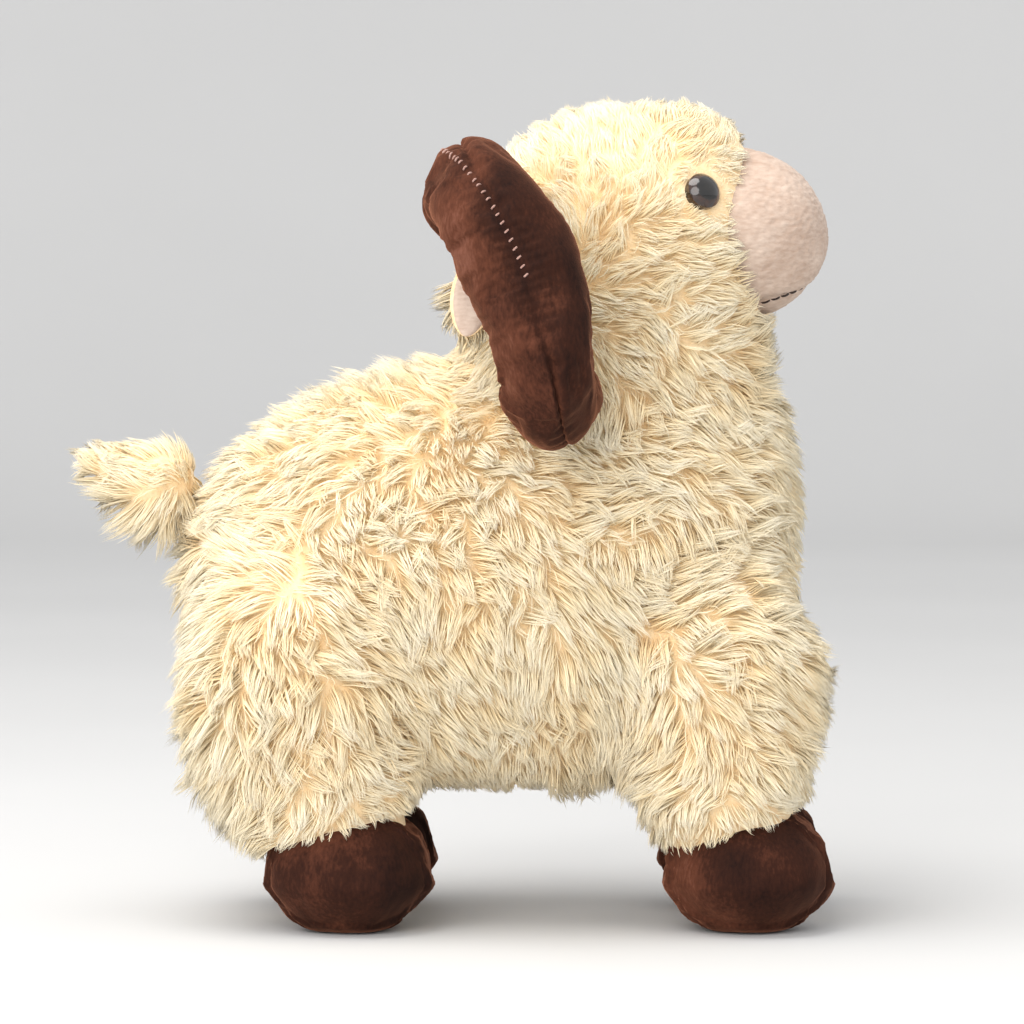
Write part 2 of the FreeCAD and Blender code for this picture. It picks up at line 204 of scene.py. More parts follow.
def add_ramp(tree, value, stops):
    """A colour ramp with these (position, colour) stops, fed by value."""
    ramp = tree.nodes.new("ShaderNodeValToRGB")
    band = ramp.color_ramp
    while len(band.elements) < len(stops):
        band.elements.new(0.5)
    for element, (position, colour) in zip(band.elements, stops):
        element.position = position
        element.color = (*colour, 1)
    tree.links.new(value, ramp.inputs["Fac"])
    return ramp.outputs["Color"]


def add_noise(tree, scale, detail=4.0, stretch=(1, 1, 1)):
    """Noise over the object's own coordinates, stretched where a nap runs one way."""
    place = tree.nodes.new("ShaderNodeTexCoord")
    stretched = tree.nodes.new("ShaderNodeMapping")
    stretched.inputs["Scale"].default_value = stretch
    grain = tree.nodes.new("ShaderNodeTexNoise")
    grain.inputs["Scale"].default_value = scale
    grain.inputs["Detail"].default_value = detail
    tree.links.new(place.outputs["Object"], stretched.inputs["Vector"])
    tree.links.new(stretched.outputs["Vector"], grain.inputs["Vector"])
    return grain.outputs["Fac"]


def add_math(tree, kind, one, two):
    node = tree.nodes.new("ShaderNodeMath")
    node.operation = kind
    for socket, value in zip(node.inputs, (one, two)):
        if isinstance(value, (int, float)):
            socket.default_value = value
        else:
            tree.links.new(value, socket)
    return node.outputs["Value"]


def add_bump(tree, shader, height, strength, distance):
    bump = tree.nodes.new("ShaderNodeBump")
    bump.inputs["Strength"].default_value = strength
    bump.inputs["Distance"].default_value = distance
    tree.links.new(height, bump.inputs["Height"])
    tree.links.new(bump.outputs["Normal"], shader.inputs["Normal"])


def pile_material():
    """Hair colour by its tone (u) and by how far along the hair it is (v)."""
    material, tree, shader = node_material("cream_pile", 0.6, 0.25, 0.5, (1, 0.93, 0.8))
    spot = tree.nodes.new("ShaderNodeUVMap")
    spot.uv_map = "OFBake"
    split = tree.nodes.new("ShaderNodeSeparateXYZ")
    tree.links.new(spot.outputs["UV"], split.inputs["Vector"])
    along = add_math(tree, "MULTIPLY", split.outputs["Y"], 0.6)
    tone = add_math(tree, "MULTIPLY", split.outputs["X"], 0.4)
    colour = add_ramp(tree, add_math(tree, "ADD", along, tone), (
        (0.0, (0.97, 0.66, 0.33)), (0.25, (0.99, 0.76, 0.44)), (0.5, (1.0, 0.84, 0.56)),
        (0.75, (1.0, 0.89, 0.66)), (1.0, (1.0, 0.93, 0.77))))
    tree.links.new(colour, shader.inputs["Base Color"])
    return material


def skin_material():
    """Backing under the pile, tan like the roots."""
    material, tree, shader = node_material("pile_backing", 0.9, 0.3, 0.5, (1, 0.9, 0.75))
    colour = add_ramp(tree, add_noise(tree, 260, 5), (
        (0.3, (0.86, 0.60, 0.32)), (0.7, (0.95, 0.76, 0.50))))
    tree.links.new(colour, shader.inputs["Base Color"])
    add_bump(tree, shader, add_noise(tree, 1400, 3), 0.5, 0.0006)
    return material


def velour_material():
    """Short brown velour: redder where the nap lies one way, near black where it lies the other. Faces
    that turn to the back, towards the lamps, are painted lighter and faces that turn forward are painted
    darker, as painted light.
    """
    material, tree, shader = node_material("brown_velour", 0.85, 0.34, 0.35, (1.0, 0.40, 0.22))
    shader.inputs["Specular IOR Level"].default_value = 0.1
    lie = add_noise(tree, 38, 3)
    grain = add_noise(tree, 900, 4, (1, 1, 0.45))
    mixed = add_math(tree, "ADD", add_math(tree, "MULTIPLY", lie, 0.72),
                     add_math(tree, "MULTIPLY", grain, 0.28))
    # painted light: the colour is shifted by the way the surface faces along x, lighter where it faces
    # back towards the lamps and darker where it faces forward
    facing = tree.nodes.new("ShaderNodeTexCoord")
    split = tree.nodes.new("ShaderNodeSeparateXYZ")
    tree.links.new(facing.outputs["Normal"], split.inputs["Vector"])
    mixed = add_math(tree, "ADD", mixed, add_math(tree, "MULTIPLY", split.outputs["X"], -0.1))
    colour = add_ramp(tree, mixed, (
        (0.32, (0.012, 0.005, 0.004)), (0.5, (0.036, 0.012, 0.007)), (0.66, (0.10, 0.033, 0.018)),
        (0.8, (0.18, 0.07, 0.045))))
    tree.links.new(colour, shader.inputs["Base Color"])
    add_bump(tree, shader, add_noise(tree, 1500, 4), 0.35, 0.0003)
    return material


def plush_material(name, low, high):
    """Short crinkled plush with rows of fine wrinkles."""
    material, tree, shader = node_material(name, 0.85, 0.25, 0.45, (1, 0.92, 0.86))
    patch = add_noise(tree, 55, 3)
    grain = add_noise(tree, 700, 5, (0.5, 0.5, 1.3))
    mixed = add_math(tree, "ADD", add_math(tree, "MULTIPLY", patch, 0.55),
                     add_math(tree, "MULTIPLY", grain, 0.45))
    colour = add_ramp(tree, mixed, ((0.3, low), (0.7, high)))
    tree.links.new(colour, shader.inputs["Base Color"])
    add_bump(tree, shader, grain, 0.5, 0.0005)
    return material


def thread_material(name, low, high):
    material, tree, shader = node_material(name, 0.6, 0.3)
    colour = add_ramp(tree, add_noise(tree, 1800, 2, (1, 1, 3)), ((0.35, low), (0.65, high)))
    tree.links.new(colour, shader.inputs["Base Color"])
    return material


def gloss_material(name, low, high, roughness, coat):
    """Moulded eye plastic with faint streaks, under a clear coat."""
    material, tree, shader = node_material(name, roughness)
    shader.inputs["Coat Weight"].default_value = coat
    shader.inputs["Coat Roughness"].default_value = 0.04
    shader.inputs["Specular IOR Level"].default_value = 0.5
    colour = add_ramp(tree, add_noise(tree, 500, 3), ((0.35, low), (0.65, high)))
    tree.links.new(colour, shader.inputs["Base Color"])
    return material


def washer_material():
    material, tree, shader = node_material("washer_grain", 0.55)
    colour = add_ramp(tree, add_noise(tree, 900, 3), (
        (0.3, (0.62, 0.62, 0.60)), (0.7, (0.78, 0.78, 0.76))))
    tree.links.new(colour, shader.inputs["Base Color"])
    add_bump(tree, shader, add_noise(tree, 2500, 2), 0.2, 0.0002)
    return material


def filling_material():
    material, tree, shader = node_material("fibre_filling", 0.95, 0.3)
    colour = add_ramp(tree, add_noise(tree, 300, 6), (
        (0.3, (0.80, 0.79, 0.76)), (0.7, (0.93, 0.92, 0.90))))
    tree.links.new(colour, shader.inputs["Base Color"])
    return material


# ---------------------------------------------------------------- mesh helpers

def keep(name, mesh, material, body, replaced=()):
    """Makes the mesh a piece: linked, dressed, riding on its body and standing for CAD nodes."""
    mesh.name = name
    piece = bpy.data.objects.new(name, mesh)
    bpy.context.scene.collection.objects.link(piece)
    mesh.materials.clear()
    mesh.materials.append(material)
    mesh.polygons.foreach_set("use_smooth", np.ones(len(mesh.polygons), bool))
    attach(piece, body)
    if replaced:
        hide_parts(*replaced)
    return piece


def ball(middle, half, frame=None, across=48, up=32):
    """An ellipsoid as a bmesh-made mesh, in millimetres turned to metres."""
    shape = bmesh.new()
    bmesh.ops.create_uvsphere(shape, u_segments=across, v_segments=up, radius=1)
    size = Matrix.Diagonal((*[h * MM for h in half], 1))
    place = Matrix.Translation(millimetres(middle)) @ (frame or Matrix.Identity(4)) @ size
    bmesh.ops.transform(shape, matrix=place, verts=shape.verts)
    mesh = bpy.data.meshes.new("ball")
    shape.to_mesh(mesh)
    shape.free()
    return mesh


def remeshed(sources, voxel, smoothing):
    """One closed skin round all the source meshes."""
    shape = bmesh.new()
    for source in sources:
        shape.from_mesh(source)
    mesh = bpy.data.meshes.new("joined")
    shape.to_mesh(mesh)
    shape.free()
    scratch = bpy.data.objects.new("scratch", mesh)
    bpy.context.scene.collection.objects.link(scratch)
    skin = scratch.modifiers.new("skin", "REMESH")
    skin.mode = "VOXEL"
    skin.voxel_size = voxel * MM
    smooth = scratch.modifiers.new("smooth", "SMOOTH")
    smooth.factor = 0.5
    smooth.iterations = smoothing
    graph = bpy.context.evaluated_depsgraph_get()
    made = bpy.data.meshes.new_from_object(scratch.evaluated_get(graph))
    bpy.data.objects.remove(scratch)
    bpy.data.meshes.remove(mesh)
    return made


def points_of(mesh):
    points = np.empty(len(mesh.vertices) * 3)
    mesh.vertices.foreach_get("co", points)
    return points.reshape(-1, 3) / MM


def normals_of(mesh):
    normals = np.empty(len(mesh.vertices) * 3)
    mesh.vertices.foreach_get("normal", normals)
    return normals.reshape(-1, 3)


def set_points(mesh, points):
    mesh.vertices.foreach_set("co", (points * MM).ravel())
    mesh.update()


def unit(vectors):
    return vectors / np.maximum(np.linalg.norm(vectors, axis=-1, keepdims=True), 1e-9)


def wrinkle(points, stretch, depth):
    """Noise height at each point; stretch says how many waves there are per millimetre."""
    scaled = points * np.array(stretch)
    return depth * np.array([noise.noise(Vector(p)) for p in scaled])


def ridge(points, stretch, depth):
    """Sharp-topped folds: high along thin lines and flat between them."""
    scaled = points * np.array(stretch)
    return depth * np.array([1 - 2 * abs(noise.noise(Vector(p))) for p in scaled])


def loft(rings):
    """A closed mesh through rings of points, all of one count, with a point at each end."""
    count, around, _ = rings.shape
    points = np.vstack((rings.reshape(-1, 3), rings[0].mean(0), rings[-1].mean(0)))
    faces = []
    for level in range(count - 1):
        for step in range(around):
            here = level * around
            after = (step + 1) % around
            faces.append((here + step, here + after, here + around + after, here + around + step))
    last = (count - 1) * around
    for step in range(around):
        after = (step + 1) % around
        faces.append((after, step, count * around))
        faces.append((last + step, last + after, count * around + 1))
    mesh = bpy.data.meshes.new("loft")
    mesh.from_pydata([Vector(p) * MM for p in points], [], faces)
    mesh.update()
    return mesh


def inflated(mesh, held, most, pressure=4.0, spare=0.05, frames=14):
    """Fills the form as cloth: it is cut a little large, held along its seams and blown out,
    so it puckers between them. No point moves further than most millimetres."""
    scene = bpy.context.scene
    scratch = bpy.data.objects.new("scratch", mesh)
    scene.collection.objects.link(scratch)
    scratch.vertex_groups.new(name="held").add([int(index) for index in held], 1.0, "REPLACE")
    cloth = scratch.modifiers.new("cloth", "CLOTH")
    cloth.settings.quality = 5
    cloth.settings.use_pressure = True
    cloth.settings.uniform_pressure_force = pressure
    cloth.settings.vertex_group_mass = "held"
    cloth.settings.shrink_min = -spare
    cloth.settings.effector_weights.gravity = 0
    for number in range(1, frames + 1):
        scene.frame_set(number)
    graph = bpy.context.evaluated_depsgraph_get()
    blown = bpy.data.meshes.new_from_object(scratch.evaluated_get(graph))
    before = points_of(mesh)
    moved = points_of(blown) - before
    far = np.maximum(np.linalg.norm(moved, axis=1, keepdims=True), 1e-6)
    print("cloth moved", float(far.mean()), float(far.max()))
    set_points(mesh, before + moved * np.minimum(1, most / far))
    scene.frame_set(1)
    bpy.data.objects.remove(scratch)
    bpy.data.meshes.remove(blown)
    return mesh


def thread(paths, radius, around=8):
    """Short threads along lists of points, thinner at both ends, in one mesh."""
    shape = bmesh.new()
    for path in paths:
        path = np.array(path, float)
        along = unit(np.gradient(path, axis=0))
        side = unit(np.cross(along, np.array((0.31, 0.52, 0.79))))
        other = np.cross(along, side)
        share = np.linspace(-1, 1, len(path))
        thick = radius * np.sqrt(np.maximum(1 - share ** 6, 0.02))
        angle = np.linspace(0, 2 * math.pi, around, endpoint=False)
        rings = (path[:, None] + thick[:, None, None] * (
            np.cos(angle)[None, :, None] * side[:, None] + np.sin(angle)[None, :, None] * other[:, None]))
        shape.from_mesh(loft(rings))
    mesh = bpy.data.meshes.new("thread")
    shape.to_mesh(mesh)
    shape.free()
    return mesh


def mirrored(mesh):
    """A copy on the other side of the toy, with its faces turned the right way out."""
    shape = bmesh.new()
    shape.from_mesh(mesh)
    bmesh.ops.transform(shape, matrix=Matrix.Diagonal((1, -1, 1, 1)), verts=shape.verts)
    bmesh.ops.reverse_faces(shape, faces=shape.faces)
    copy = bpy.data.meshes.new("mirrored")
    shape.to_mesh(copy)
    shape.free()
    return copy


# ---------------------------------------------------------------- horn line, used by horn and pile

def horn_frame():
    return (Matrix.Translation(Vector(HORN_MIDDLE)) @ turn(-HORN_LEAN, "Y") @ turn(HORN_TILT, "X"))


def horn_line(step=0.9):
    """Left horn's middle line in its own plane: rows of (y, z, outward y, outward z, tube, share)."""
    root = math.radians(HORN_ROOT_TURN)
    tip = math.radians(HORN_TIP_TURN)
    lengths = (HORN_ROOT_REACH, root * HORN_BEND, HORN_LIMB, tip * HORN_BEND)
    entry = math.radians(HORN_ROOT_TURN - 90)
    entry_bend = HORN_ROOT_REACH / entry
    total = sum(lengths)
    rows = []
    for travel in np.arange(0, total + step / 2, step):
        share = travel / total
        rest = travel - lengths[0]
        if rest < lengths[1]:
            angle = root - max(rest, 0) / HORN_BEND + min(rest, 0) / entry_bend
            out = (math.cos(angle), math.sin(angle))
            if rest < 0:
                middle = (math.cos(root) * (HORN_BEND + entry_bend) - out[0] * entry_bend,
                          math.sin(root) * (HORN_BEND + entry_bend) - out[1] * entry_bend + HORN_LIMB / 2)
            else:
                middle = (out[0] * HORN_BEND, out[1] * HORN_BEND + HORN_LIMB / 2)
        elif rest < lengths[1] + HORN_LIMB:
            out = (1, 0)
            middle = (HORN_BEND, HORN_LIMB / 2 - (rest - lengths[1]))
        else:
            angle = -(rest - lengths[1] - HORN_LIMB) / HORN_BEND
            out = (math.cos(angle), math.sin(angle))
            middle = (out[0] * HORN_BEND, out[1] * HORN_BEND - HORN_LIMB / 2)
        slim = min(max((rest - lengths[1]) / HORN_LIMB, 0), 1)
        tube = HORN_TUBE + (HORN_TIP_TUBE - HORN_TUBE) * slim
        rows.append((*middle, *out, tube, share))
    return np.array(rows), total


def horn_offset(height, share):
    """How far the horn's line stands forward of its plane: it bows back above and below its middle,
    leads forward into the head at its root, and curls out at its tip."""
    above = np.maximum(height + 8, 0) / 42
    below = np.minimum(height + 8, 0) / 42
    bow = HORN_FORWARD - HORN_BOW * above ** 2 - HORN_LOW_BOW * below ** 2
    lead = np.clip((0.24 - share) / 0.24, 0, 1)
    return bow + HORN_ROOT_LEAD * lead + HORN_TIP_LIFT * np.clip((share - 0.66) / 0.34, 0, 1) ** 1.5


def horn_axis_points():
    """The middle line in millimetres in the toy's frame, with the tip lifted forward."""
    rows, _ = horn_line()
    frame = horn_frame()
    lift = horn_offset(rows[:, 1], rows[:, 5])
    points = [frame @ Vector((x, y, z)) for x, y, z in zip(lift, rows[:, 0], rows[:, 1])]
    return np.array([tuple(p) for p in points]), rows[:, 4]


# ---------------------------------------------------------------- pile

def sampled(mesh, per_square_mm, rng):
    """Random points on the mesh with their normals, evenly by area."""
    mesh.calc_loop_triangles()
    corners = np.empty(len(mesh.loop_triangles) * 3, int)
    mesh.loop_triangles.foreach_get("vertices", corners)
    corners = corners.reshape(-1, 3)
    points = points_of(mesh)
    normals = normals_of(mesh)
    one, two, three = (points[corners[:, k]] for k in range(3))
    area = np.linalg.norm(np.cross(two - one, three - one), axis=1) / 2
    count = int(area.sum() * per_square_mm)
    chosen = rng.choice(len(area), count, p=area / area.sum())
    first = rng.random(count)
    second = rng.random(count)
    over = first + second > 1
    first[over] = 1 - first[over]
    second[over] = 1 - second[over]
    share = np.stack((1 - first - second, first, second), axis=1)
    place = (points[corners[chosen]] * share[:, :, None]).sum(1)
    up = unit((normals[corners[chosen]] * share[:, :, None]).sum(1))
    return place, up


def nearest(points, chosen):
    """For each point, which of the chosen points lies nearest."""
    tree = KDTree(len(chosen))
    for number, index in enumerate(chosen):
        tree.insert(points[index], number)
    tree.balance()
    found = np.array([tree.find(point)[1] for point in points])
    return chosen[found]


def tangent(vectors, normals):
    """The part of each vector that runs along the surface."""
    along = vectors - (vectors * normals).sum(1, keepdims=True) * normals
    return along / np.maximum(np.linalg.norm(along, axis=1, keepdims=True), 0.35)


def body_lie(roots, normals):
    """Direction, length and rise of the pile on body, head and legs."""
    table = np.array(BODY_LIE)
    away = (roots[:, None, 0] - table[None, :, 0]) ** 2 + (roots[:, None, 2] - table[None, :, 1]) ** 2
    weight = np.exp(-away / (2 * table[None, :, 4] ** 2)) + 1e-12
    weight /= weight.sum(1, keepdims=True)
    mixed = weight @ table[:, 2:]
    flow = np.stack((mixed[:, 0], np.zeros(len(roots)), mixed[:, 1]), axis=1)
    length = mixed[:, 3]
    eye = np.linalg.norm(np.stack((roots[:, 0] - EYE[0], np.abs(roots[:, 1]) - EYE[1],
                                   roots[:, 2] - EYE[2]), axis=1), axis=1)
    length = length * np.clip(0.35 + 0.65 * (eye - EYE_CLEAR) / (EYE_SHORT - EYE_CLEAR), 0.35, 1)
    return tangent(flow, normals), length, mixed[:, 4]


def grown(roots, normals, flow, length, rise, rng, droop=0.22):
    """Hair curves that leave the skin upright, lie over and gather into tufts and wisps."""
    count = len(roots)
    order = rng.permutation(count)
    tufts = order[:max(1, int(count / (PILE_PER_SQUARE_MM * TUFT_SPACING ** 2)))]
    wisps = order[:max(1, int(count / (PILE_PER_SQUARE_MM * WISP_SPACING ** 2)))]
    tuft = nearest(roots, tufts)
    wisp = nearest(roots, wisps)
    swirl = np.zeros((count, 3))
    for index in tufts:
        swirl[index] = noise.noise_vector(Vector(roots[index] / 24)) * 0.6
    swirl += rng.normal(0, 0.2, (count, 3))
    flow = tangent(flow + tangent(swirl[tuft], normals) * 0.9, normals)
    stand = rise[:, None]
    first = unit(flow * (1.15 - stand) + normals * (0.75 + stand))
    last = unit(flow + normals * stand * 0.85 + swirl[tuft] * 0.25 + np.array((0, 0, -droop)))
    first = unit(first * 0.4 + first[tuft] * 0.6)
    last = unit(last * 0.4 + last[tuft] * 0.6)
    reach = length * rng.normal(1, 0.1, count) * (0.86 + 0.28 * rng.random(count))[tuft]
    across = unit(np.cross(first, last) + 1e-6)
    phase = (rng.random(count) * 2 * math.pi)[wisp]
    hold = 0.66 * (0.45 + 0.55 * rng.random(count))
    base = roots - normals * 0.7
    curves = np.empty((count, len(HAIR_STEPS), 3))
    for number, t in enumerate(HAIR_STEPS):
        bend = first * t + (last - first) * t * t / 2
        own = base + bend * reach[:, None]
        led = base[tuft] + bend[tuft] * reach[:, None]
        place = own + (led - own) * (hold * t ** 1.4)[:, None]
        wave = 0.55 * t * np.sin(phase + 5.5 * t)
        curves[:, number] = place + across[tuft] * wave[:, None]
    for number, t in enumerate(HAIR_STEPS):
        curves[:, number] += (curves[wisp, number] - curves[:, number]) * 0.55 * t
    tone = 0.5 + 0.35 * rng.normal(0, 0.5, count) + 0.22 * rng.normal(0, 0.6, count)[tuft]
    tone += 0.75 * np.array([noise.noise(Vector(p / 14)) for p in roots])
    return curves, np.clip(tone, 0.03, 0.97)


def hair_mesh(curves, normals, tone, rng, width=HAIR_WIDTH):
    """Thin three-sided hairs, closed at the root and drawn to a point at the tip. Their shading
    leans towards the skin's own normals, so the pile looks soft and not like wire."""
    count = len(curves)
    run = unit(curves[:, -1] - curves[:, 0])
    side = unit(np.cross(run, unit(rng.normal(0, 1, (count, 3)))))
    other = np.cross(run, side)
    half = width / 2 * (0.65 + 0.7 * rng.random(count))
    taper = (1.0, 0.85, 0.5)
    vertices = np.empty((count, 10, 3))
    facing = np.empty((count, 10, 3))
    for ring in range(3):
        for corner in range(3):
            angle = corner * 2 * math.pi / 3
            out = side * math.cos(angle) + other * math.sin(angle)
            vertices[:, ring * 3 + corner] = curves[:, ring] + out * (half * taper[ring])[:, None]
            facing[:, ring * 3 + corner] = normals * HAIR_SOFTNESS + out * (1 - HAIR_SOFTNESS)
    vertices[:, 9] = curves[:, 3]
    facing[:, 9] = normals * HAIR_SOFTNESS + run * (1 - HAIR_SOFTNESS)
    pattern = []
    starts = []
    for ring in range(2):
        for corner in range(3):
            after = (corner + 1) % 3
            starts.append(len(pattern))
            pattern += [ring * 3 + corner, ring * 3 + after, ring * 3 + 3 + after, ring * 3 + 3 + corner]
    for corner in range(3):
        starts.append(len(pattern))
        pattern += [6 + corner, 6 + (corner + 1) % 3, 9]
    starts.append(len(pattern))
    pattern += [2, 1, 0]
    pattern = np.array(pattern)
    offsets = np.arange(count)[:, None]
    mesh = bpy.data.meshes.new("hair")
    mesh.vertices.add(count * 10)
    mesh.vertices.foreach_set("co", (vertices * MM).ravel())
    mesh.loops.add(count * len(pattern))
    mesh.loops.foreach_set("vertex_index", (pattern[None] + offsets * 10).ravel())
    mesh.polygons.add(count * len(starts))
    mesh.polygons.foreach_set("loop_start", (np.array(starts)[None] + offsets * len(pattern)).ravel())
    mesh.update(calc_edges=True)
    mesh.polygons.foreach_set("use_smooth", np.ones(len(mesh.polygons), bool))
    mesh.normals_split_custom_set_from_vertices(unit(facing).reshape(-1, 3))
    layer = mesh.uv_layers.new(name="OFBake")
    across = np.array([(0.0 if corner == 9 else (corner % 3 - 1) * 0.012) for corner in pattern])
    along = np.array([1.0 if corner == 9 else HAIR_STEPS[corner // 3] for corner in pattern])
    where = np.empty((count, len(pattern), 2))
    where[:, :, 0] = tone[:, None] + across[None]
    where[:, :, 1] = along[None]
    layer.data.foreach_set("uv", np.clip(where, 0.005, 0.995).ravel())
    return mesh


def outside_forms(curves, horn_room=1.0):
    """Which hairs stay clear of the horns, the muzzle and the hooves along their length."""
    line, tube = horn_axis_points()
    clear = np.ones(len(curves), bool)
    for step in (1, 2, 3):
        place = curves[:, step].copy()
        place[:, 1] = np.abs(place[:, 1])
        near = np.flatnonzero((place[:, 1] > 20) & (place[:, 2] > 150))
        away = np.linalg.norm(place[near, None] - line[None, ::3], axis=2) - tube[None, ::3]
        clear[near[away.min(1) < horn_room]] = False
        face = ((curves[:, step] - np.array(MUZZLE_MIDDLE)) / np.array(MUZZLE_HALF)) ** 2
        clear &= face.sum(1) > 0.97
        for forward in LEG_FORWARD.values():
            foot = (place - np.array((forward, LEG_SIDE, HOOF_RISE))) / np.array(HOOF_HALF)
            clear &= ((foot ** 2).sum(1) > 0.96) | (place[:, 2] > cuff_height(place, forward))
    return clear


def leg_forward(points):
    """Which pair of legs each point is nearer to, as the place of that pair's soles."""
    return np.where(points[:, 0] > 30, LEG_FORWARD["front"], LEG_FORWARD["rear"])


def cuff_height(points, forward):
    """Height of the slanted top edge of a hoof above the floor, at each point."""
    ahead = np.clip(points[:, 0] - forward, -HOOF_HALF[0], HOOF_HALF[0])
    return CUFF_HEIGHT + ahead * math.tan(math.radians(CUFF_SLOPE))


def body_roots(mesh, rng):
    """Where pile grows: everywhere on the skin but the face, the eyes, the horn roots and hooves."""
    roots, normals = sampled(mesh, PILE_PER_SQUARE_MM, rng)
    side = roots.copy()
    side[:, 1] = np.abs(side[:, 1])
    grows = (((roots - np.array(MUZZLE_MIDDLE)) / np.array(MUZZLE_HALF)) ** 2).sum(1) > 1.0
    grows &= np.linalg.norm(side - np.array(EYE), axis=1) > EYE_CLEAR
    line, tube = horn_axis_points()
    near = np.flatnonzero(side[:, 2] > 190)
    away = np.linalg.norm(side[near, None] - line[None, ::3], axis=2) - tube[None, ::3]
    grows[near[away.min(1) < 0]] = False
    grows &= side[:, 2] > cuff_height(side, leg_forward(side)) + 0.8
    return roots[grows], normals[grows]


def region_names(roots):
    """A name for the part of the toy that each hair grows on."""
    side = np.where(roots[:, 1] >= 0, "left", "right")
    x, z = roots[:, 0], roots[:, 2]
    part = np.full(len(roots), "flank", dtype=object)
    part[x < -30] = "haunch"
    part[x > 45] = "chest"
    part[(z > 150) & (x < 5)] = "back"
    part[(z < 72) & (x > 55)] = "front_leg"
    part[(z < 60) & (x < 5)] = "rear_leg"
    part[(z > 150) & (x >= 5)] = "neck"
    part[z > 195] = "cheek"
    part[z > 238] = "crown"
    return np.array([f"pile_{a}_{b}" for a, b in zip(part, side)])


def add_pile(curves, normals, tone, names, body, material, rng, width=HAIR_WIDTH):
    """Hair meshes, one for each named part, or several where a part has more than a piece may hold."""
    for name in sorted(set(names)):
        chosen = np.flatnonzero(names == name)
        chosen = chosen[np.argsort(curves[chosen, 0, 0], kind="stable")]
        shares = np.array_split(chosen, math.ceil(len(chosen) / MOST_HAIRS_PER_PIECE))
        for number, share in enumerate(shares, 1):
            mesh = hair_mesh(curves[share], normals[share], tone[share], rng, width)
            own = f"{name}_{number}" if len(shares) > 1 else name
            keep(own, mesh, material, body)


# ---------------------------------------------------------------- body

def body_skin(nodes):
    """Skin under the pile: the sewn body's outer form, drawn in by the depth of the laid pile."""
    names = ["torso_stuffing", "torso_panel_left", "torso_panel_right", "belly_gusset",
             "head_stuffing", "head_panel_left", "head_panel_right", "head_gusset"]
    for place in LEG_FORWARD:
        for side, _ in SIDES:
            names += [f"{place}_leg_cover_{side}", f"{place}_leg_stuffing_{side}"]
    sources = [nodes[name].data for name in names]
    for _, sign in SIDES:
        sources.append(ball((-50, 27 * sign, 80), (40, 33, 54)))
        sources.append(ball((86, 27 * sign, 82), (36, 33, 44)))
        sources.append(ball((EYE[0] - 8, (EYE[1] - 8) * sign, EYE[2] - 4), (13, 13, 15)))
    mesh = remeshed(sources, 3.0, 10)
    points = points_of(mesh)
    face = np.clip((points[:, 0] - 66) / 18, 0, 1) * np.clip((points[:, 2] - 180) / 15, 0, 1)
    depth = SKIN_DEPTH - (SKIN_DEPTH - FACE_SKIN_DEPTH) * face
    belly = np.clip((66 - points[:, 2]) / 14, 0, 1) * (np.abs(points[:, 0] - 20) < 38)
    depth -= BELLY_FULLNESS * belly
    chest = np.clip((points[:, 0] - 98) / 15, 0, 1) * np.clip((points[:, 2] - 92) / 15, 0, 1)
    depth += CHEST_SLACK * chest * np.clip((170 - points[:, 2]) / 20, 0, 1)
    set_points(mesh, points - normals_of(mesh) * depth[:, None])
    again = remeshed([mesh], 3.0, 8)
    return again, names


def add_body(nodes, skin, pile, rng):
    mesh, names = body_skin(nodes)
    roots, normals = body_roots(mesh, rng)
    flow, length, rise = body_lie(roots, normals)
    above = roots[:, 2] - cuff_height(roots, leg_forward(roots))
    short = np.where(roots[:, 0] < -58, CUFF_SHORT_BEHIND, CUFF_SHORT)
    length *= np.clip(short + above / 34, short, 1)
    inner = np.abs(roots[:, 1]) < 9
    length[inner & (roots[:, 2] < 60)] *= 0.7
    curves, tone = grown(roots, normals, flow, length, rise, rng)
    clear = outside_forms(curves)
    curves, tone, roots, normals = curves[clear], tone[clear], roots[clear], normals[clear]
    print("hairs on the body", len(curves))
    piece = keep("body_skin", mesh, skin, "toy_body", names)
    add_pile(curves, normals, tone, region_names(roots), "toy_body", pile, rng)


# ---------------------------------------------------------------- face

def add_muzzle(material):
    """Plush cap with crinkles that run round it, drawn in a little along the mouth."""
    mesh = ball(MUZZLE_MIDDLE, MUZZLE_HALF, turn(90, "Y"), 220, 150)
    points = points_of(mesh)
    normals = normals_of(mesh)
    height = ridge(points, (0.3, 0.3, 0.75), 0.34) + wrinkle(points, (0.7, 0.7, 1.5), 0.3)
    height += wrinkle(points, (0.06, 0.06, 0.06), 0.9)
    mouth = np.abs(points[:, 2] - mouth_height(points))
    height -= 0.7 * np.exp(-(mouth / 1.6) ** 2) * (points[:, 0] > MUZZLE_MIDDLE[0])
    set_points(mesh, points + normals * height[:, None])
    piece = keep("muzzle_plush", mesh, material, "toy_body",
                 ("muzzle_cover", "muzzle_stuffing"))


def mouth_height(points):
    """Height of the mouth line at each point's place round the muzzle."""
    ahead = (points[:, 0] - MUZZLE_MIDDLE[0]) / MUZZLE_HALF[0]
    aside = (points[:, 1] - MUZZLE_MIDDLE[1]) / MUZZLE_HALF[1]
    share = np.degrees(np.abs(np.arctan2(aside, ahead))) / MOUTH_REACH
    return MOUTH_LOW + (MOUTH_PEAK - MOUTH_LOW) * (1 - np.minimum(share, 1.2))


def muzzle_point(degrees, height, proud):
    """A point on the muzzle's form at this turn round it and this height."""
    drop = (height - MUZZLE_MIDDLE[2]) / MUZZLE_HALF[2]
    ring = math.sqrt(1 - drop * drop)
    out = Vector((math.cos(math.radians(degrees)) * ring / MUZZLE_HALF[0],
                  math.sin(math.radians(degrees)) * ring / MUZZLE_HALF[1],
                  drop / MUZZLE_HALF[2])).normalized()
    place = Vector((MUZZLE_MIDDLE[0] + math.cos(math.radians(degrees)) * ring * MUZZLE_HALF[0],
                    math.sin(math.radians(degrees)) * ring * MUZZLE_HALF[1], height))
    return place + out * proud


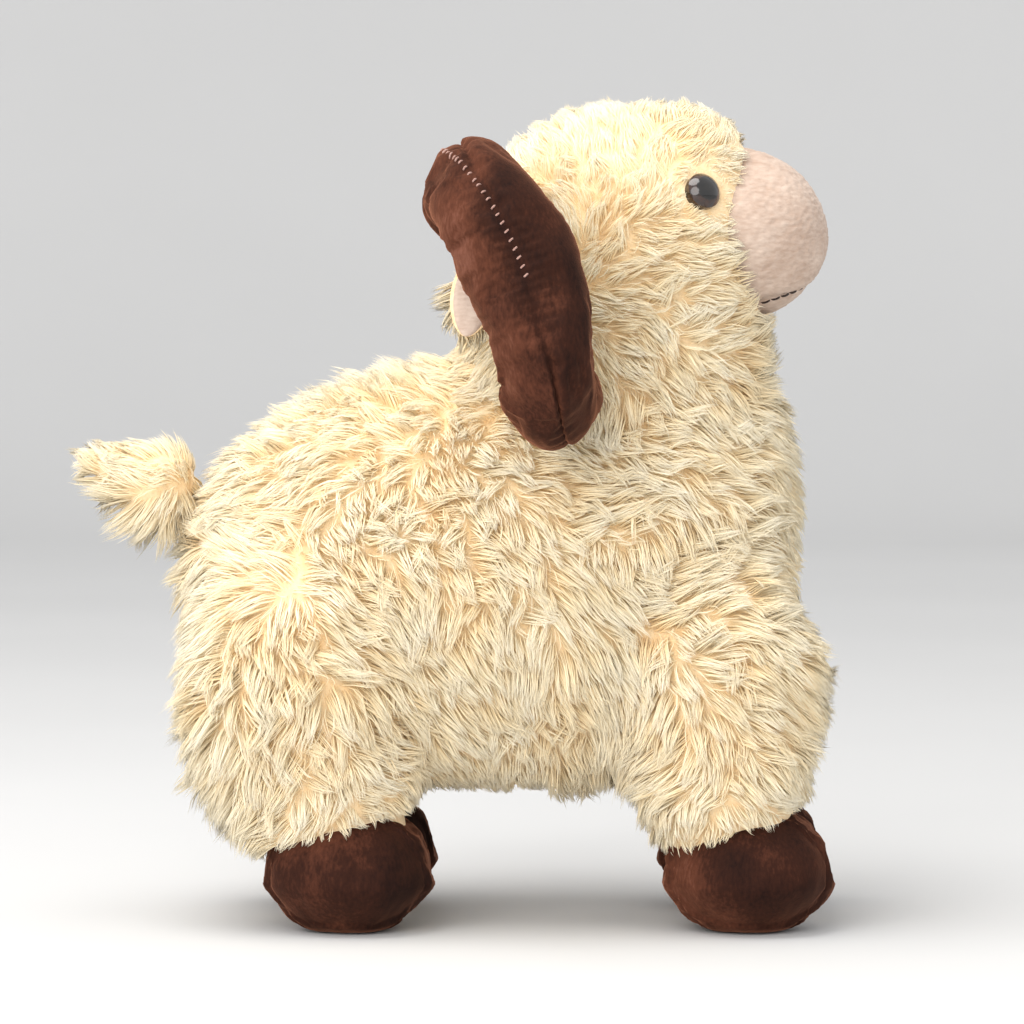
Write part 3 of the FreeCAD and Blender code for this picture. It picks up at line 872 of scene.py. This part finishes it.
def add_mouth(material):
    """Back stitches in dark thread that dip into the plush at each end."""
    paths = []
    for number in range(MOUTH_STITCHES):
        path = []
        for step in range(7):
            share = (number + 0.03 + 0.94 * step / 6) / MOUTH_STITCHES * 2 - 1
            height = MOUTH_LOW + (MOUTH_PEAK - MOUTH_LOW) * (1 - abs(share))
            proud = -0.55 + 0.6 * math.sin(math.pi * step / 6) ** 0.5
            path.append(muzzle_point(share * MOUTH_REACH, height, proud))
        paths.append(path)
    keep("mouth_thread", thread(paths, 0.38), material, "toy_body", ("mouth_stitches",))


def dress_eyes(nodes):
    """The CAD eyes are right as they are and get their plastic."""
    black = gloss_material("pupil_gloss", (0.002, 0.002, 0.002), (0.008, 0.006, 0.005), 0.12, 0.6)
    brown = gloss_material("iris_gloss", (0.012, 0.005, 0.003), (0.040, 0.014, 0.007), 0.15, 0.6)
    plain = washer_material()
    for side, _ in SIDES:
        for name, material in (("pupil", black), ("iris", brown), ("washer", plain)):
            node = nodes[f"eye_{name}_{side}"]
            node.data.materials.clear()
            node.data.materials.append(material)


# ---------------------------------------------------------------- horns

def horn_mesh():
    """Left horn: a stuffed tube with a drawn-in seam round both rims, puckers and folds."""
    rows, total = horn_line()
    frame = horn_frame()
    around = 112
    angle = np.linspace(0, 2 * math.pi, around, endpoint=False)
    fold = np.minimum(angle, 2 * math.pi - angle)
    rings = np.empty((len(rows), around, 3))
    for number, (y, z, out_y, out_z, tube, share) in enumerate(rows):
        travel = share * total
        rounding = tube
        end = min(travel, total - travel + 0.0)
        cap = math.sqrt(max(1 - (1 - min(end / rounding, 1)) ** 2, 0.004))
        rim = np.exp(-(fold / 0.075) ** 2)
        inner = np.exp(-((math.pi - fold) / 0.10) ** 2)
        pucker = np.cos(travel / HORN_STITCH_PITCH * 2 * math.pi)
        radius = tube - 0.95 * rim - 1.1 * inner
        radius = radius + 0.22 * pucker * np.exp(-((fold - 0.2) / 0.16) ** 2)
        radius = radius + 0.2 * np.exp(-((fold - 0.28) / 0.25) ** 2)
        thick = 1.04 + 0.13 * math.sin(math.pi * min(max(share * 1.15, 0), 1))
        thick *= 1 - HORN_TOP_SLIM * min(max((z - 3) / 27, 0), 1)
        x = np.sin(angle) * radius * cap * thick
        outward = np.cos(angle) * radius * cap
        rings[number, :, 0] = x + horn_offset(z, share)
        rings[number, :, 1] = y + out_y * outward
        rings[number, :, 2] = z + out_z * outward
    flat = rings.reshape(-1, 3)
    travel = np.repeat(rows[:, 5] * total, around)
    bend = np.tile(0.5 - 0.5 * np.cos(angle), len(rows))
    across = np.tile(np.sin(angle), len(rows))
    sample = np.stack((travel * 0.16, across * 0.9, np.tile(np.cos(angle), len(rows)) * 0.9), axis=1)
    folds = np.array([1 - 2.2 * abs(noise.noise(Vector(p))) for p in sample])
    middle = np.stack((np.repeat(horn_offset(rows[:, 1], rows[:, 5]), around),
                       np.repeat(rows[:, 0], around),
                       np.repeat(rows[:, 1], around)), axis=1)
    away = unit(flat - middle)
    rear = np.clip(-across, 0, 1)
    height = 0.75 * folds * bend ** 1.5 + 0.6 * folds * rear + wrinkle(flat, (0.07, 0.07, 0.07), 1.0)
    flat = flat + away * height[:, None]
    placed = np.array([tuple(frame @ Vector(p)) for p in flat]).reshape(rings.shape)
    held = np.flatnonzero((np.tile(fold, len(rows)) < 0.05) | (np.tile(fold, len(rows)) > 3.06))
    return inflated(loft(placed), held, 1.3)


def horn_thread_mesh(horn):
    """Overcast stitches across the outer rim seam, from the top of the curl downwards,
    each laid on the finished horn."""
    frame = horn_frame()
    surface = BVHTree.FromPolygons([v.co / MM for v in horn.vertices],
                                   [p.vertices for p in horn.polygons])
    rim = HORN_BEND + HORN_TUBE
    paths = []
    for number in range(HORN_STITCHES):
        travel = number * HORN_STITCH_PITCH
        angle = math.radians(HORN_STITCH_START) - travel / rim
        drop = max(-angle, 0) * rim
        angle = max(angle, 0)
        path = []
        for step in range(7):
            share = step / 6 * 2 - 1
            lean = 0.45 * share
            height = math.sin(angle) * rim + math.cos(angle) * lean + HORN_LIMB / 2 - drop
            place = Vector((share + horn_offset(height, HORN_STITCH_SHARE),
                            math.cos(angle) * rim - math.sin(angle) * lean, height))
            out = frame.to_3x3() @ Vector((0, math.cos(angle), math.sin(angle)))
            hit = surface.ray_cast(frame @ place + out * 8, -out)[0]
            path.append(hit + out * (0.3 - 0.75 * share * share))
        paths.append(path)
    return thread(paths, 0.34)


def add_horns(velour, pale):
    mesh = horn_mesh()
    seam = horn_thread_mesh(mesh)
    for side, sign in SIDES:
        form = mesh if sign > 0 else mirrored(mesh)
        piece = keep(f"horn_velour_{side}", form, velour, f"horn_{side}",
                     (f"horn_front_panel_{side}", f"horn_back_panel_{side}", f"horn_stuffing_{side}"))
        keep(f"horn_thread_{side}", seam if sign > 0 else mirrored(seam), pale, f"horn_{side}",
             (f"horn_stitches_{side}",))


# ---------------------------------------------------------------- hooves

def hoof_mesh(forward):
    """Left hoof: stuffed velour with a flat sole, a seam each side of its middle strip, a slanted top."""
    middle = np.array((forward, LEG_SIDE, HOOF_RISE))
    mesh = ball(middle, HOOF_HALF, turn(90, "X"), 120, 90)
    points = points_of(mesh)
    normals = normals_of(mesh)
    local = points - middle
    for edge in (HOOF_SEAM, -HOOF_SEAM):
        fall = np.clip((22 - points[:, 2] - local[:, 0] * 0.35) / 14 + 0.5, 0.25, 1)
        groove = np.exp(-((local[:, 1] - edge) / 0.9) ** 2)
        swell = np.exp(-((local[:, 1] - edge) / 4.5) ** 2)
        points = points + normals * ((0.45 * swell - 1.3 * groove) * fall)[:, None]
    points = points + normals * wrinkle(points, (0.06, 0.06, 0.06), 1.1)[:, None]
    points = points + normals * wrinkle(points, (0.22, 0.22, 0.12), 0.35)[:, None]
    low = np.clip((16 - points[:, 2]) / 16, 0, 1) ** 1.3
    points[:, :2] = middle[:2] + (points[:, :2] - middle[:2]) * (1 - HOOF_TAPER * low)[:, None]
    points[:, 2] = np.where(points[:, 2] < 2.5, 0.15 + 2.35 * np.exp((points[:, 2] - 2.5) / 2.35),
                            points[:, 2])
    top = cuff_height(points, forward) + 3
    over = points[:, 2] > top
    points[over, 2] = top[over] + (points[over, 2] - top[over]) * 0.08
    set_points(mesh, points)
    seams = np.abs(np.abs(local[:, 1]) - HOOF_SEAM) < 0.5
    held = np.flatnonzero(over | (points[:, 2] < 2.6) | seams)
    return inflated(mesh, held, 0.9)


def add_hooves(velour):
    for place, forward in LEG_FORWARD.items():
        mesh = hoof_mesh(forward)
        for side, sign in SIDES:
            form = mesh if sign > 0 else mirrored(mesh)
            piece = keep(f"{place}_hoof_velour_{side}", form, velour, "toy_body",
                         (f"{place}_hoof_cover_{side}", f"{place}_hoof_sole_{side}"))


# ---------------------------------------------------------------- ears and tail

def ear_frame():
    return turn(EAR_SWEEP, "Z") @ turn(EAR_HANG, "X")


def ear_half(outer):
    """Half of the left ear's leaf: the plush lining that faces out, or the furry back."""
    mesh = ball((0, 0, 0), EAR_HALF, None, 72, 56)
    points = points_of(mesh)
    share = points[:, 2] / EAR_HALF[2]
    points[:, 0] *= 1 + 0.12 * share - 0.1 * share ** 2
    points[:, 1] = np.maximum(points[:, 1], -0.05) if outer else np.minimum(points[:, 1], 0.05)
    if outer:
        points[:, 0] *= 0.85
        points[:, 1] *= 1 - 0.45 * np.exp(-(points[:, 0] / 4.5) ** 2)
        points[:, 1] += ridge(points, (0.3, 0.2, 0.5), 0.2) * (points[:, 1] > 0.3)
    placed = [Matrix.Translation(Vector(EAR_MIDDLE)) @ ear_frame() @ Vector(p) for p in points]
    set_points(mesh, np.array([tuple(p) for p in placed]))
    return mesh


def add_ears(plush, skin, pile, rng):
    outward = np.array(ear_frame() @ Vector((0, 1, 0)))[:3]
    down = np.array(ear_frame() @ Vector((0, 0, -1)))[:3]
    lining = ear_half(True)
    back = ear_half(False)
    roots, normals = sampled(back, 1.6, rng)
    faces = (normals @ outward) < 0.35
    roots, normals = roots[faces], normals[faces]
    spread = unit(roots - np.array(EAR_MIDDLE))
    flow = tangent(down * 0.6 + spread * 0.9, normals)
    length = np.full(len(roots), 8.5)
    rise = np.full(len(roots), 0.35)
    curves, tone = grown(roots, normals, flow, length, rise, rng, 0.1)
    for side, sign in SIDES:
        body = f"ear_{side}"
        front = keep(f"ear_plush_{side}", lining if sign > 0 else mirrored(lining), plush, body,
                     (f"ear_lining_{side}",))
        rear = keep(f"ear_skin_{side}", back if sign > 0 else mirrored(back), skin, body,
                    (f"ear_back_{side}",))
        flip = np.array((1, sign, 1))
        names = np.array([f"pile_ear_{side}"] * len(curves))
        add_pile(curves * flip, normals * flip, tone, names, body, pile, rng)


def add_tail(nodes, skin, pile, rng):
    """A short furry wedge: its pile runs back along it and hangs below it."""
    names = ("tail_upper_panel", "tail_lower_panel", "tail_stuffing")
    mesh = remeshed([nodes[name].data for name in names], 1.6, 8)
    set_points(mesh, points_of(mesh) - normals_of(mesh) * 1.2)
    roots, normals = sampled(mesh, 1.5, rng)
    grows = roots[:, 0] < TAIL_PIVOT[0] + 12
    roots, normals = roots[grows], normals[grows]
    below = np.clip((TAIL_PIVOT[2] + 4 - roots[:, 2]) / 12, 0, 1)
    flow = np.stack((-np.ones(len(roots)), np.zeros(len(roots)), -0.15 - 0.75 * below), axis=1)
    length = 9.5 + 6 * below
    curves, tone = grown(roots, normals, tangent(flow, normals), length, 0.2 + 0.3 * below, rng, 0.1)
    piece = keep("tail_skin", mesh, skin, "tail", names)
    add_pile(curves, normals, tone, np.array(["pile_tail"] * len(curves)), "tail", pile, rng)


# ---------------------------------------------------------------- studio

def add_stage():
    """A pale floor that sweeps up into a backdrop."""
    shape = bmesh.new()
    profile = [(-3.4, 0.0), (2.2, 0.0)]
    for step in range(1, 13):
        angle = math.radians(90 * step / 12)
        profile.append((2.2 + 0.8 * math.sin(angle), 0.8 - 0.8 * math.cos(angle)))
    profile.append((3.0, 4.5))
    rows = [[shape.verts.new((x, y, z)) for y, z in profile] for x in (-4.5, 4.5)]
    for left, right in zip(zip(rows[0], rows[0][1:]), zip(rows[1], rows[1][1:])):
        shape.faces.new((left[0], right[0], right[1], left[1]))
    mesh = bpy.data.meshes.new("floor")
    shape.to_mesh(mesh)
    shape.free()
    mesh.polygons.foreach_set("use_smooth", np.ones(len(mesh.polygons), bool))
    floor = bpy.data.objects.new("floor", mesh)
    bpy.context.scene.collection.objects.link(floor)
    material, tree, shader = node_material("floor_paper", 0.8)
    colour = add_ramp(tree, add_noise(tree, 3, 2), (
        (0.3, (0.63, 0.63, 0.63)), (0.7, (0.65, 0.65, 0.65))))
    tree.links.new(colour, shader.inputs["Base Color"])
    mesh.materials.append(material)


def add_light(name, place, target, size, power, colour=(1, 1, 1)):
    data = bpy.data.lights.new(name, "AREA")
    data.shape = "DISK"
    data.size = size
    data.energy = power
    data.color = colour
    light = bpy.data.objects.new(name, data)
    light.location = place
    light.rotation_euler = (Vector(target) - Vector(place)).to_track_quat("-Z", "Y").to_euler()
    bpy.context.scene.collection.objects.link(light)


def add_studio():
    """Bright overhead softbox a little to the left, a weaker front fill, and a pale sky."""
    middle = (0.01, 0, 0.13)
    add_light("overhead", (-0.35, -0.25, 1.35), middle, 1.0, 12.5, (1, 0.98, 0.95))
    add_light("front_fill", (-0.55, -1.5, 0.75), middle, 1.4, 18, (1, 0.98, 0.96))
    world = bpy.data.worlds.new("sky")
    world.use_nodes = True
    back = world.node_tree.nodes["Background"]
    back.inputs["Color"].default_value = (0.985, 0.985, 0.985, 1)
    back.inputs["Strength"].default_value = 1.0
    bpy.context.scene.world = world
    bpy.context.scene.view_settings.view_transform = "Standard"


def add_camera():
    """Level with the toy's right side and a little above it."""
    target = Vector((0.0185, 0.0, 0.1355))
    away = 1.7
    rise = math.radians(3)
    data = bpy.data.cameras.new("camera")
    data.sensor_width = 36
    data.angle = 2 * math.atan(0.1655 / (away - 0.05))
    camera = bpy.data.objects.new("camera", data)
    camera.location = target + Vector((0, -away * math.cos(rise), away * math.sin(rise)))
    camera.rotation_euler = (target - camera.location).to_track_quat("-Z", "Y").to_euler()
    bpy.context.scene.collection.objects.link(camera)
    bpy.context.scene.camera = camera


def main():
    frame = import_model()
    nodes = frame["nodes"]
    rng = np.random.default_rng(SEED)
    add_camera()
    add_studio()
    add_stage()
    pile = pile_material()
    skin = skin_material()
    velour = velour_material()
    plush = plush_material("beige_plush", (0.40, 0.27, 0.20), (0.66, 0.53, 0.44))
    add_body(nodes, skin, pile, rng)
    add_muzzle(plush)
    add_mouth(thread_material("mouth_cotton", (0.012, 0.006, 0.004), (0.04, 0.02, 0.014)))
    dress_eyes(nodes)
    add_horns(velour, thread_material("horn_cotton", (0.30, 0.16, 0.13), (0.48, 0.30, 0.25)))
    add_hooves(velour)
    add_ears(plush, skin, pile, rng)
    add_tail(nodes, skin, pile, rng)
    closing = nodes["closing_stitches"].data
    closing.materials.clear()
    closing.materials.append(thread_material("closing_cotton", (0.70, 0.55, 0.36), (0.85, 0.72, 0.52)))


main()
